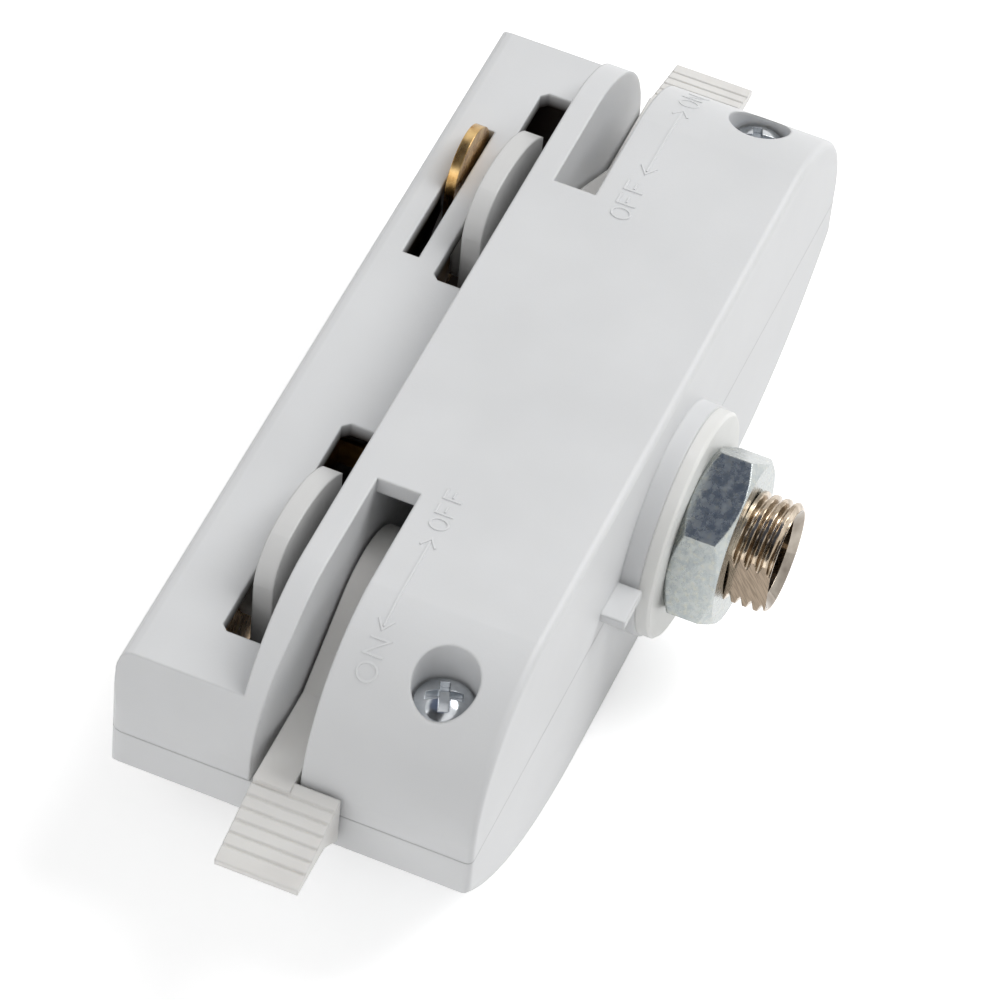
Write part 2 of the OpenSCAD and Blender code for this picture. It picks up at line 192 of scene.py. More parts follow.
@dataclass(frozen=True)
class Finish:
    """A real material and process, drawn as a procedural shader.

    Attributes:
        name: Name of the Blender material.
        slot: Slot of the record it belongs to; not used.
        pale: Hex colour of the lighter parts.
        deep: Hex colour of the darker parts.
        patch_mm: Size of the colour's patches.
        rough: Roughness of the smoother parts.
        rough_more: Roughness of the duller parts.
        grain_mm: Size of the surface grain.
        grain_depth_mm: Depth of the surface grain.
        edge_mm: Radius to which sharp edges are softened.
    """

    name: str
    slot: Slot
    pale: str
    deep: str
    patch_mm: float
    rough: float
    rough_more: float
    grain_mm: float
    grain_depth_mm: float
    edge_mm: float

    def shade(self, shader: bpy.types.Node) -> None:
        """Sets what differs from one kind of material to another.

        Args:
            shader: The material's Principled shader.
        """

    def layers(self, tree: Tree, place: Socket) -> list[Layer]:
        """Makes the masks of other colours by place on the piece.

        Args:
            tree: The material's tree.
            place: Coordinates on the piece in metres.

        Returns:
            Each layer's mask and hex colour, the lowest first.
        """
        return []

    def build(self) -> bpy.types.Material:
        """Makes the material.

        Returns:
            The new Blender material.
        """
        material = bpy.data.materials.new(self.name)
        tree = blank_tree(material)
        place = add_node(tree, "ShaderNodeTexCoord").outputs["Object"]
        patches, grain = (
            add_node(
                tree, "ShaderNodeTexNoise", {"Vector": place, "Scale": per_mm(size), "Detail": detail}
            ).outputs["Fac"]
            for size, detail in ((self.patch_mm, PATCH_DETAIL), (self.grain_mm, GRAIN_DETAIL))
        )
        colour = two_tone(tree, patches, self.deep, self.pale)
        for mask, over in self.layers(tree, place):
            tones = {MIX_FACTOR: mask, MIX_BELOW: colour, MIX_OVER: linear(over)}
            colour = add_node(tree, "ShaderNodeMix", tones, data_type="RGBA").outputs[MIX_COLOUR]
        rough = add_node(
            tree,
            "ShaderNodeMapRange",
            {"Value": patches, "To Min": self.rough, "To Max": self.rough_more},
        ).outputs["Result"]
        edge = add_node(
            tree, "ShaderNodeBevel", {"Radius": self.edge_mm * MM}, samples=EDGE_SAMPLES
        ).outputs["Normal"]
        bump = add_node(
            tree,
            "ShaderNodeBump",
            {"Height": grain, "Normal": edge, "Strength": 1.0, "Distance": self.grain_depth_mm * MM},
        ).outputs["Normal"]
        shader = add_node(
            tree, "ShaderNodeBsdfPrincipled", {"Base Color": colour, "Roughness": rough, "Normal": bump}
        )
        self.shade(shader)
        add_node(tree, "ShaderNodeOutputMaterial", {"Surface": shader.outputs["BSDF"]})
        return material


@dataclass(frozen=True)
class SeamShade:
    """Painted shade in the gap of a moulding's parting line, in the plane where Z is 0.

    Attributes:
        half: Half width of the line.
        fade: Distance from the plane at which it has faded out.
        share: Share of its colour that the line shows.
        colour: Hex colour of the shadow in it.
    """

    half: float = 0.035
    fade: float = 0.0875
    share: float = 0.4
    colour: str = "8f8f8d"


@dataclass(frozen=True)
class HollowShade:
    """Painted shade inside the tongue, which is seen through its slots.

    Attributes:
        half_len: Half of its length along the body.
        low_y: Its end towards the body.
        high_y: Its end towards the track.
        deep_z: Distance from the parting plane up to which it is all dark.
        mouth_z: Distance at which a slot's wall has the colour of the outside.
        colour: Hex colour of the shadow in it.
    """

    half_len: float = 36.75
    low_y: float = -0.05
    high_y: float = 9.65
    deep_z: float = 6.73
    mouth_z: float = 8.1
    colour: str = "32251e"


@dataclass(frozen=True)
class MouldedPlastic(Finish):
    """Injection-moulded thermoplastic with a satin tool texture.

    Attributes:
        depth: Share of light that scatters below the surface.
        seam_shade: Painted shade in the gap of the parting line, if it shows one.
        hollow_shade: Painted shade inside the tongue, if it has one.
        ior: Index of refraction.
        scatter_mm: How far light travels below the surface.
        scatter_share: Share of that distance for red, green and blue.
    """

    depth: float = 0.0
    seam_shade: SeamShade | None = None
    hollow_shade: HollowShade | None = None
    ior: float = 1.53
    scatter_mm: float = 0.8
    scatter_share: Point = (1.0, 0.95, 0.85)

    def shade(self, shader: bpy.types.Node) -> None:
        """Makes it a dielectric with a little scattering below its surface.

        Args:
            shader: The material's Principled shader.
        """
        shader.inputs["IOR"].default_value = self.ior
        shader.inputs["Subsurface Weight"].default_value = self.depth
        shader.inputs["Subsurface Radius"].default_value = self.scatter_share
        shader.inputs["Subsurface Scale"].default_value = self.scatter_mm * MM

    def layers(self, tree: Tree, place: Socket) -> list[Layer]:
        """Makes the masks of the painted shade in the parting line and inside the tongue.

        Args:
            tree: The material's tree.
            place: Coordinates on the piece in metres.

        Returns:
            Each layer's mask and hex colour, the lowest first.
        """
        if not (self.seam_shade or self.hollow_shade):
            return []
        axes = add_node(tree, "ShaderNodeSeparateXYZ", {"Vector": place}).outputs
        along, above = (
            add_node(tree, "ShaderNodeMath", {0: axes[name]}, operation="ABSOLUTE").outputs[0]
            for name in ("X", "Z")
        )
        found: list[Layer] = []
        # Painted shade: a thin grey line along the parting plane, for the dark gap between the shells
        if self.seam_shade:
            fading = {
                "Value": above,
                "From Min": self.seam_shade.half * MM,
                "From Max": self.seam_shade.fade * MM,
                "To Min": self.seam_shade.share,
                "To Max": 0.0,
            }
            line = add_node(tree, "ShaderNodeMapRange", fading).outputs["Result"]
            found.append((line, self.seam_shade.colour))
        # Painted shade: dark brown inside the tongue, fading out up its slots' walls
        if self.hollow_shade:
            fading = {
                "Value": above,
                "From Min": self.hollow_shade.deep_z * MM,
                "From Max": self.hollow_shade.mouth_z * MM,
                "To Min": 1.0,
                "To Max": 0.0,
            }
            shadow = add_node(tree, "ShaderNodeMapRange", fading).outputs["Result"]
            for axis, test, limit in (
                (along, "LESS_THAN", self.hollow_shade.half_len),
                (axes["Y"], "GREATER_THAN", self.hollow_shade.low_y),
                (axes["Y"], "LESS_THAN", self.hollow_shade.high_y),
            ):
                inside = add_node(tree, "ShaderNodeMath", {0: axis, 1: limit * MM}, operation=test)
                both = {0: shadow, 1: inside.outputs[0]}
                shadow = add_node(tree, "ShaderNodeMath", both, operation="MULTIPLY").outputs[0]
            found.append((shadow, self.hollow_shade.colour))
        return found


@dataclass(frozen=True)
class Metal(Finish):
    """Bare or plated metal; its colour carries the reflectance.

    Attributes:
        stain: Hex colour of faint stains, or empty for none.
        stain_mm: Size of the stains.
        stain_low: Value of the stains' pattern at which they start.
        stain_high: Value at which they are strongest.
        stain_share: Share of their colour where they are strongest.
    """

    stain: str = ""
    stain_mm: float = 1.0
    stain_low: float = 0.52
    stain_high: float = 0.7
    stain_share: float = 0.4

    def shade(self, shader: bpy.types.Node) -> None:
        """Makes it fully metallic, with the default index of refraction."""
        shader.inputs["Metallic"].default_value = 1.0

    def layers(self, tree: Tree, place: Socket) -> list[Layer]:
        """Makes the mask of faint stains.

        Args:
            tree: The material's tree.
            place: Coordinates on the piece in metres.

        Returns:
            The stains' mask and hex colour, or nothing without stains.
        """
        if not self.stain:
            return []
        spots = add_node(
            tree,
            "ShaderNodeTexNoise",
            {"Vector": place, "Scale": per_mm(self.stain_mm), "Detail": STAIN_DETAIL},
        ).outputs["Fac"]
        strength = {
            "Value": spots,
            "From Min": self.stain_low,
            "From Max": self.stain_high,
            "To Max": self.stain_share,
        }
        return [(add_node(tree, "ShaderNodeMapRange", strength).outputs["Result"], self.stain)]


@dataclass(frozen=True)
class GroundMetal(Metal):
    """Plated metal with one flat that was ground across at a slant.

    Attributes:
        flat_mm: Distance from the axis, along -X, beyond which the flat lies.
        ground: Hex colour of the ground flat.
        mark: Hex colour of the grinding marks.
        mark_mm: Spacing of the marks.
        mark_length: Length of a mark, as a multiple of the spacing.
        mark_slant: Angle of the marks to the tube's axis, in degrees.
        mark_low: Value of the marks' pattern at which they start.
        mark_high: Value at which they are strongest.
        mark_share: Share of their colour where they are strongest.
    """

    flat_mm: float = 4.05
    ground: str = "9a8b7a"
    mark: str = "6b5e50"
    mark_mm: float = 0.11
    mark_length: float = 14.0
    mark_slant: float = 60.0
    mark_low: float = 0.42
    mark_high: float = 0.62
    mark_share: float = 0.55

    def layers(self, tree: Tree, place: Socket) -> list[Layer]:
        """Makes the masks of the flat and of the slanting marks on it.

        Args:
            tree: The material's tree.
            place: Coordinates on the piece in metres.

        Returns:
            Each layer's mask and hex colour, the lowest first.
        """
        slant = {
            "Vector": place,
            "Rotation": (math.radians(self.mark_slant), 0.0, 0.0),
            "Scale": (1.0, self.mark_length, 1.0),
        }
        turned = add_node(tree, "ShaderNodeMapping", slant, vector_type="TEXTURE").outputs["Vector"]
        pattern = add_node(
            tree,
            "ShaderNodeTexNoise",
            {"Vector": turned, "Scale": per_mm(self.mark_mm), "Detail": GRAIN_DETAIL},
        ).outputs["Fac"]
        strength = {
            "Value": pattern,
            "From Min": self.mark_low,
            "From Max": self.mark_high,
            "To Max": self.mark_share,
        }
        lines = add_node(tree, "ShaderNodeMapRange", strength).outputs["Result"]
        axes = add_node(tree, "ShaderNodeSeparateXYZ", {"Vector": place}).outputs
        flat = add_node(
            tree, "ShaderNodeMath", {0: axes["X"], 1: -self.flat_mm * MM}, operation="LESS_THAN"
        ).outputs[0]
        marks = add_node(tree, "ShaderNodeMath", {0: lines, 1: flat}, operation="MULTIPLY").outputs[0]
        return [(flat, self.ground), (marks, self.mark)]


# ABS, injection moulded against a blasted tool: an even grey-white satin with wide, soft
# highlights. The real grain is too fine to show and is drawn coarser, here and in each finish below.
SHELL = MouldedPlastic(
    name="abs_injection_moulded_satin",
    slot=Slot.SHELL,
    pale="dadbdc",
    deep="d5d6d7",
    patch_mm=14.0,
    rough=0.42,
    rough_more=0.5,
    grain_mm=0.3,
    grain_depth_mm=0.006,
    edge_mm=0.35,
    depth=0.2,
    # Painted shade: a thin grey line in the parting line's gap
    seam_shade=SeamShade(),
    # Painted shade: dark brown inside the tongue and down its slots' walls
    hollow_shade=HollowShade(),
)

# The same ABS where it stands up as words and arrows: a touch paler, as a painted highlight on the
# raised strokes, with crisp edges
MARKS_PAINTED_HIGHLIGHT = MouldedPlastic(
    name="abs_injection_moulded_marks_painted_highlight",
    slot=Slot.SHELL,
    pale="dedfe0",
    deep="d9dadb",
    patch_mm=14.0,
    rough=0.42,
    rough_more=0.5,
    grain_mm=0.3,
    grain_depth_mm=0.003,
    edge_mm=0.03,
)

# ABS, injection moulded in one piece: the feet are a little darker and glossier than the shells
FOOT = MouldedPlastic(
    name="abs_injection_moulded_plain",
    slot=Slot.SHELL,
    pale="d5d5d4",
    deep="cfcfce",
    patch_mm=9.0,
    rough=0.4,
    rough_more=0.48,
    grain_mm=0.3,
    grain_depth_mm=0.005,
    edge_mm=0.3,
)

# Nylon, injection moulded: a warmer white than the ABS, slightly waxy and translucent
LEVER = MouldedPlastic(
    name="nylon_injection_moulded",
    slot=Slot.LEVER,
    pale="e5e4e1",
    deep="dedcd9",
    patch_mm=7.0,
    rough=0.36,
    rough_more=0.46,
    grain_mm=0.4,
    grain_depth_mm=0.006,
    edge_mm=0.25,
    depth=0.25,
)

# Nylon, injection moulded as a thin ring: plain milky white
WASHER = MouldedPlastic(
    name="nylon_injection_moulded_washer",
    slot=Slot.WASHER,
    pale="e8e8e6",
    deep="e2e2df",
    patch_mm=6.0,
    rough=0.4,
    rough_more=0.5,
    grain_mm=0.4,
    grain_depth_mm=0.005,
    edge_mm=0.2,
    depth=0.1,
)

# Brass, rolled and stamped: warm gold, cloudy and stained brown from handling
BRASS = Metal(
    name="brass_stamped",
    slot=Slot.BRASS,
    pale="dab981",
    deep="a57b42",
    patch_mm=1.6,
    rough=0.2,
    rough_more=0.36,
    grain_mm=0.25,
    grain_depth_mm=0.006,
    edge_mm=0.12,
    stain="7d5a30",
    stain_mm=1.4,
)

# Brass, rolled and tarnished: dull brown with little shine
STRIP = Metal(
    name="brass_rolled_tarnished",
    slot=Slot.BRASS,
    pale="8d6c3d",
    deep="6a4d29",
    patch_mm=2.0,
    rough=0.34,
    rough_more=0.5,
    grain_mm=0.25,
    grain_depth_mm=0.004,
    edge_mm=0.12,
)

# Brass, machined: clean yellow with an even gloss
BLOCK = Metal(
    name="brass_machined",
    slot=Slot.BRASS,
    pale="cfa862",
    deep="bd924a",
    patch_mm=3.0,
    rough=0.24,
    rough_more=0.36,
    grain_mm=0.2,
    grain_depth_mm=0.004,
    edge_mm=0.12,
)

# Steel, zinc plated and blue passivated: cold grey, finely spangled, with faint yellow stains
ZINC = Metal(
    name="steel_zinc_plated_blue",
    slot=Slot.ZINC,
    pale="b6bab8",
    deep="a3a9aa",
    patch_mm=0.7,
    rough=0.14,
    rough_more=0.4,
    grain_mm=0.3,
    grain_depth_mm=0.007,
    edge_mm=0.18,
    stain="c6c2ae",
    stain_mm=0.5,
)

# Steel, zinc plated bright: small screws that are silvery and nearly mirror bright
SCREW = Metal(
    name="steel_zinc_plated_bright",
    slot=Slot.ZINC,
    pale="d6d9dc",
    deep="bcc0c4",
    patch_mm=1.5,
    rough=0.12,
    rough_more=0.24,
    grain_mm=0.3,
    grain_depth_mm=0.004,
    edge_mm=0.15,
)

# Steel, cut and nickel plated: warm grey, with sharp glints on the thread's crests. The marks on
# the ground flat are finer than this in life and are drawn coarser, so that they show.
NICKEL = GroundMetal(
    name="steel_nickel_plated",
    slot=Slot.NICKEL,
    pale="cbbdab",
    deep="988874",
    patch_mm=1.2,
    rough=0.1,
    rough_more=0.2,
    grain_mm=0.2,
    grain_depth_mm=0.004,
    edge_mm=0.05,
)

# Steel, turned, polished and nickel plated: the tube's smooth mouth, which mirrors what is round it
# Its tone, darker than bright nickel and blotched in 3 mm patches, is a painted reflection of dark
# surroundings
POLISHED_PAINTED_REFLECTION = Metal(
    name="steel_nickel_polished_painted_reflection",
    slot=Slot.NICKEL,
    pale="b3aba0",
    deep="80776e",
    patch_mm=3.0,
    rough=0.05,
    rough_more=0.1,
    grain_mm=0.2,
    grain_depth_mm=0.001,
    edge_mm=0.03,
)


@dataclass
class Paint:
    """Builds each finish once and puts it on pieces.

    Attributes:
        made: Materials built so far, by name.
    """

    made: dict[str, bpy.types.Material] = field(default_factory=dict)

    def material(self, finish: Finish) -> bpy.types.Material:
        """Gives a finish's material.

        Args:
            finish: The finish wanted.

        Returns:
            Its material, built on first use.
        """
        if finish.name not in self.made:
            self.made[finish.name] = finish.build()
        return self.made[finish.name]

    def node(self, name: str, finish: Finish) -> None:
        """Dresses a CAD node.

        Args:
            name: Name of the node.
            finish: Finish it gets.
        """
        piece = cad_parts[name]
        piece.data.materials.clear()
        piece.data.materials.append(self.material(finish))
        log.info("%s dressed as %s", name, finish.name)

    def piece(
        self,
        name: str,
        points: Sequence[Point],
        faces: Sequence[Face],
        finish: Finish,
        smooth: bool = False,
    ) -> bpy.types.Object:
        """Adds a piece of its own that rides on the housing.

        Args:
            name: Name of the piece.
            points: Its corners.
            faces: Its faces, as indices of corners.
            finish: Finish it gets.
            smooth: Whether it is shaded smooth.

        Returns:
            The new object.
        """
        mesh = bpy.data.meshes.new(name)
        mesh.from_pydata([tuple(c * MM for c in point) for point in points], [], faces)
        mesh.validate()
        if smooth:
            mesh.shade_smooth()
        mesh.materials.append(self.material(finish))
        piece = bpy.data.objects.new(name, mesh)
        bpy.context.scene.collection.objects.link(piece)
        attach(piece, HOUSING)
        log.info("%s added with %d faces", name, len(faces))
        return piece


@dataclass(frozen=True)
class Word:
    """A raised word that reads along +X.

    Attributes:
        text: The word, of the letters O, N and F.
        x: Start of the first letter.
        y: Foot of the letters.
        letter: Width of a letter.
        height: Height of a letter.
        gap: Space between letters.
    """

    text: str
    x: float
    y: float
    letter: float
    height: float
    gap: float


@dataclass(frozen=True)
class Arrow:
    """A raised double arrow along X.

    Attributes:
        start: Place of the tip nearer the near end.
        end: Place of the other tip.
        y: Place across the side.
        head: Length of the arrow heads.
    """

    start: float
    end: float
    y: float
    head: float


@dataclass
class Ribs:
    """Raised strokes on the upper shell's side, which make up letters and arrows.

    Attributes:
        flat_half: Half length of the flat part of the side.
        side_z: Height of the flat side.
        end_r: Radius of the rounded ends.
        width: Width of a stroke at its foot.
        rise: Height of a stroke above the surface.
        sink: Depth of its foot below the surface.
        crown: Share of its width that is level on top.
        mitre: Least cosine of half a bend, so that a sharp corner doesn't run out into a spike.
        step: Longest straight piece of a stroke, so that it follows the rounded ends.
        round_sides: Sides of a round letter.
        bar: Height of the middle stroke of an F, as a share of the letter's height.
        bar_end: End of that stroke, as a share of the letter's width.
        arm_end: End of the top stroke of an F, as a share of the letter's width.
        shaft_gap: Space between an arrow's tip and its shaft, as a multiple of the width.
        spread: Half width of an arrow head, as a share of its length.
        points: Corners made so far.
        faces: Faces made so far.
    """

    flat_half: float
    side_z: float
    end_r: float
    width: float = 0.25
    rise: float = 0.1
    sink: float = 0.05
    crown: float = 0.6
    mitre: float = 0.35
    step: float = 0.6
    round_sides: int = 24
    bar: float = 0.52
    bar_end: float = 0.75
    arm_end: float = 0.9
    shaft_gap: float = 1.25
    spread: float = 0.75
    points: list[Point] = field(default_factory=list)
    faces: list[Face] = field(default_factory=list)

    def surface(self, x: float) -> float:
        """Height of the side above the parting plane.

        Args:
            x: Place along the body.

        Returns:
            Height at that place.
        """
        beyond = max(0.0, abs(x) - self.flat_half)
        return self.side_z - self.end_r + math.sqrt(max(0.0, self.end_r**2 - beyond**2))

    def path(self, spots: Sequence[Spot], closed: bool = False) -> None:
        """Adds a stroke through some spots, with mitred corners, that follows the surface.

        Args:
            spots: Places as X and Y, the first not repeated at the end.
            closed: Whether the stroke returns to its first spot.
        """
        corners = [Vector(spot) for spot in spots]
        around = corners[:1] if closed else []
        legs = [b - a for a, b in zip(corners, corners[1:] + around)]
        sections: list[Section] = []
        for i, corner in enumerate(corners):
            ahead = legs[min(i, len(legs) - 1)]
            behind = legs[i - 1] if closed or i else ahead
            bisector = ahead.normalized() + behind.normalized()
            across = Vector((-bisector.y, bisector.x)).normalized()
            half_bend = across.dot(Vector((-ahead.y, ahead.x)).normalized())
            across *= self.width / 2 / max(self.mitre, half_bend)
            sections.append((corner, across))
        rows: list[Section] = []
        for (a, a_side), (b, b_side) in zip(sections, sections[1:] + sections[: len(around)]):
            steps = max(1, math.ceil((b - a).length / self.step))
            rows += [(a.lerp(b, k / steps), a_side.lerp(b_side, k / steps)) for k in range(steps)]
        if not closed:
            rows.append(sections[-1])
        self.ridge(rows, closed)

    def ridge(self, rows: Sequence[Section], closed: bool) -> None:
        """Adds the ridge that a row of middles and half widths describes.

        Args:
            rows: Middles of the stroke and the way to its side.
            closed: Whether the last row joins the first.
        """
        profile = (
            (-1.0, -self.sink),
            (-self.crown, self.rise),
            (self.crown, self.rise),
            (1.0, -self.sink),
        )
        size = len(profile)
        starts = [len(self.points) + size * i for i in range(len(rows))]
        for middle, across in rows:
            for share, lift in profile:
                spot = middle + across * share
                self.points.append((spot.x, spot.y, self.surface(spot.x) + lift))
        around = starts[:1] if closed else []
        for a, b in zip(starts, starts[1:] + around):
            self.faces += [(a + k, b + k, b + k + 1, a + k + 1) for k in range(size - 1)]
        if not closed:
            self.faces.append(tuple(starts[0] + k for k in range(size)))
            self.faces.append(tuple(starts[-1] + k for k in reversed(range(size))))

    def word(self, word: Word) -> None:
        """Adds a word.

        Args:
            word: The word with its place and sizes.
        """
        turns = [math.tau * i / self.round_sides for i in range(self.round_sides)]
        stem = self.width / word.letter
        # Strokes of each letter in a square of side 1
        strokes: dict[str, list[list[Spot]]] = {
            "O": [[(0.5 + 0.5 * math.cos(turn), 0.5 + 0.5 * math.sin(turn)) for turn in turns]],
            "N": [[(0, 0), (0, 1), (1, 0), (1, 1)]],
            "F": [[(0, 0), (0, 1), (self.arm_end, 1)], [(stem, self.bar), (self.bar_end, self.bar)]],
        }
        for i, letter in enumerate(word.text):
            left = word.x + i * (word.letter + word.gap)
            for stroke in strokes[letter]:
                spots = [(left + u * word.letter, word.y + v * word.height) for u, v in stroke]
                self.path(spots, closed=letter == "O")

    def arrow(self, arrow: Arrow) -> None:
        """Adds a double arrow.

        Args:
            arrow: The arrow with its place and sizes.
        """
        y, gap, half = arrow.y, self.shaft_gap * self.width, self.spread * arrow.head
        self.path([(arrow.start + gap, y), (arrow.end - gap, y)])
        for tip, barb in ((arrow.start, arrow.start + arrow.head), (arrow.end, arrow.end - arrow.head)):
            self.path([(barb, y - half), (tip, y), (barb, y + half)])


@dataclass
class Shells:
    """The two halves of the housing, with their raised marks.

    Attributes:
        paint: Puts finishes on pieces.
        end_r: Radius of the body's rounded ends.
        marks: Words and arrows beside the lever slots.
    """

    paint: Paint
    end_r: float = 13.2
    marks: tuple[Word | Arrow, ...] = (
        Word("OFF", -21.9, -9.6, 1.2, 1.6, 0.5),
        Arrow(-33.0, -23.0, -8.9, 0.9),
        Word("ON", -36.9, -9.9, 1.3, 1.7, 0.55),
        Word("OFF", 17.3, -9.8, 1.25, 1.7, 0.5),
        Arrow(23.2, 32.3, -9.1, 0.95),
        Word("ON", 33.2, -9.9, 1.3, 1.7, 0.55),
    )

    def dress(self) -> None:
        """Gives both shells their plastic."""
        for name in ("upper_shell", "lower_shell"):
            self.paint.node(name, SHELL)

    def mark(self) -> None:
        """Adds the words and arrows beside the lever slots."""
        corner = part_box("upper_shell")[1] / MM
        ribs = Ribs(flat_half=corner.x - self.end_r, side_z=corner.z, end_r=self.end_r)
        for mark in self.marks:
            if isinstance(mark, Word):
                ribs.word(mark)
            else:
                ribs.arrow(mark)
        self.paint.piece("raised_marks", ribs.points, ribs.faces, MARKS_PAINTED_HIGHLIGHT)


@dataclass
class TurningGroup:
    """A lever with the lock foot and contact blade that turn with it.

    Attributes:
        paint: Puts finishes on pieces.
        end: End of the adapter at which it turns.
    """

    paint: Paint
    end: End

    def dress(self) -> None:
        """Gives lever, foot and blade their materials."""
        self.paint.node(self.end.node("lever"), LEVER)
        self.paint.node(self.end.node("foot"), FOOT)
        self.paint.node(self.end.node("contact"), BRASS)


@dataclass
class NippleStack:
    """The threaded nipple with its nuts and collar washer.

    Attributes:
        paint: Puts finishes on pieces.
        crest: Radius of the thread's crests.
        depth: Depth of the thread.
        pitch: Pitch of the thread.
        root: Half width of the thread's root, as a share of half the pitch.
        flank: Width of the slope from root to crest, as a share of half the pitch.
        chamfer: Size of the chamfer at the outer end.
        inner_chamfer: Size of the chamfer at the inner end.
        bore: Radius of the bore.
        lead: Size of the bore's wide mouth.
        rim: Least wall between the bore and the outside.
        columns: Corners of the mesh around the tube.
        rows_per_mm: Rows of the mesh along the thread.
        sharp: Angle between faces, in degrees, from which an edge is drawn sharp.
        start: Depth of the inner end behind the shoulder, from the CAD node.
        end: Depth of the outer end, from the CAD node.
        flat: Distance of the ground flat from the axis, from the CAD node.
    """

    paint: Paint
    crest: float = 4.99
    depth: float = 0.52
    pitch: float = 1.0
    root: float = 0.16
    flank: float = 0.5
    chamfer: float = 0.35
    inner_chamfer: float = 0.5
    bore: float = 3.75
    lead: float = 0.72
    rim: float = 0.02
    columns: int = 144
    rows_per_mm: int = 14
    sharp: float = 28.0
    start: float = field(init=False)
    end: float = field(init=False)
    flat: float = field(init=False)

    def __post_init__(self) -> None:
        """Takes the place of the tube's ends and of its flat from the CAD node."""
        low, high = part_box("nipple")
        self.start, self.end, self.flat = -high.y / MM, -low.y / MM, -low.x / MM

    def outer(self, angle: float, depth: float) -> float:
        """Radius of the threaded outside.

        Args:
            angle: Angle about the axis, from +X towards +Z.
            depth: Depth behind the shoulder.

        Returns:
            Radius there.
        """
        phase = (depth / self.pitch + angle / math.tau) % 1.0
        from_root = 1.0 - abs(2.0 * phase - 1.0) - self.root
        height = min(1.0, max(0.0, from_root / self.flank))
        radius = min(
            self.crest - self.depth * (1.0 - height),
            self.crest - self.chamfer + (self.end - depth),
            self.crest - self.inner_chamfer + (depth - self.start),
        )
        facing = -math.cos(angle)
        if facing > 0.0:
            radius = min(radius, self.flat / facing)
        return radius

    def thread(self) -> None:
        """Builds the nipple with its cut thread, ground flat and chamfered bore."""
        length = self.end - self.start
        rows = round(length * self.rows_per_mm)
        # Depth of each ring of corners, its largest radius and the wall it leaves to the outside
        outside = [(self.start + length * i / rows, math.inf, 0.0) for i in range(rows + 1)]
        inside = [
            (self.end, self.bore + self.lead, self.rim),
            (self.end - self.lead, self.bore, self.rim),
            (self.start, self.bore, self.rim),
        ]
        rings = outside + inside
        points: list[Point] = []
        for depth, limit, wall in rings:
            for i in range(self.columns):
                angle = math.tau * i / self.columns
                radius = min(limit, self.outer(angle, depth) - wall)
                points.append((radius * math.cos(angle), -depth, radius * math.sin(angle)))
        faces: list[Face] = []
        for ring in range(len(rings)):
            low, high = ring * self.columns, (ring + 1) % len(rings) * self.columns
            for i in range(self.columns):
                j = (i + 1) % self.columns
                faces.append((low + i, low + j, high + j, high + i))
        piece = self.paint.piece("nipple_thread", points, faces, NICKEL, smooth=True)
        piece.data.materials.append(self.paint.material(POLISHED_PAINTED_REFLECTION))
        mouth = len(outside) * self.columns
        for face in piece.data.polygons[mouth : mouth + self.columns]:
            face.material_index = 1
        piece.data.set_sharp_from_angle(angle=math.radians(self.sharp))
        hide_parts("nipple")

    def dress(self) -> None:
        """Gives nuts, washer and tube their materials."""
        self.paint.node("lock_nut", ZINC)
        self.paint.node("inner_nut", ZINC)
        self.paint.node("collar_washer", WASHER)
        self.paint.node("nipple", NICKEL)


@dataclass
class Wiring:
    """Terminals, clamping screws and wiper strips inside the housing.

    Attributes:
        paint: Puts finishes on pieces.
    """

    paint: Paint

    def dress(self) -> None:
        """Gives the inner pieces their materials."""
        for end in End:
            self.paint.node(end.node("terminal"), BLOCK)
            self.paint.node(end.node("terminal_screw"), SCREW)
            self.paint.node(end.node("wiper"), STRIP)


@dataclass
class CaseScrews:
    """The two screws that hold the shells together.

    Attributes:
        paint: Puts finishes on pieces.
    """

    paint: Paint

    def dress(self) -> None:
        """Gives the screws their bright plating."""
        for end in End:
            self.paint.node(end.node("case_screw"), SCREW)


@dataclass(frozen=True)
class PhotoCamera:
    """Camera that stands where the photograph was taken.

    Attributes:
        place: Its position.
        heading: Direction of view from +X towards +Y, in degrees.
        fall: Angle of view below the horizon, in degrees.
        roll: Lean of the picture's right side upwards, in degrees.
        lens: Focal length.
        sensor: Width of the sensor.
        nearest: Distance from which things are drawn.
        farthest: Distance up to which things are drawn.
    """

    place: Point = (-318.337, -112.033, 384.009)
    heading: float = 18.298
    fall: float = 49.297
    roll: float = 6.155
    lens: float = 212.906
    sensor: float = 36.0
    nearest: float = 10.0
    farthest: float = 20000.0

    def build(self) -> None:
        """Adds the camera to the scene."""
        heading, fall, roll = (math.radians(v) for v in (self.heading, self.fall, self.roll))
        ahead = math.cos(fall)
        forward = Vector((ahead * math.cos(heading), ahead * math.sin(heading), -math.sin(fall)))
        level = forward.cross(Vector(UP)).normalized()
        upright = level.cross(forward)
        right = level * math.cos(roll) + upright * math.sin(roll)
        up = right.cross(forward)
        data = bpy.data.cameras.new("photo_camera")
        data.sensor_width = self.sensor
        data.lens = self.lens
        data.clip_start = self.nearest * MM
        data.clip_end = self.farthest * MM
        camera = bpy.data.objects.new("photo_camera", data)
        turn = Matrix((right, up, -forward)).transposed().to_4x4()
        camera.matrix_world = Matrix.Translation(Vector(self.place) * MM) @ turn
        bpy.context.scene.collection.objects.link(camera)
        bpy.context.scene.camera = camera
        log.info("camera set")


@dataclass(frozen=True)
class Lamp:
    """A round soft lamp that is aimed at the object.

    Attributes:
        name: Name of the lamp.
        place: Its middle.
        size: Its diameter.
        watts: Its power.
    """

    name: str
    place: Point
    size: float
    watts: float


@dataclass(frozen=True)
class Flag:
    """A square of dark cloth that only gloss shows.

    Attributes:
        name: Name of the flag.
        middle: Its middle.
        half: Half of its width.
        facing: Direction that its face looks in.
        deep: Hex colour of the cloth's darker parts.
        pale: Hex colour of its lighter parts.
    """

    name: str
    middle: Point
    half: float
    facing: Point
    deep: str
    pale: str


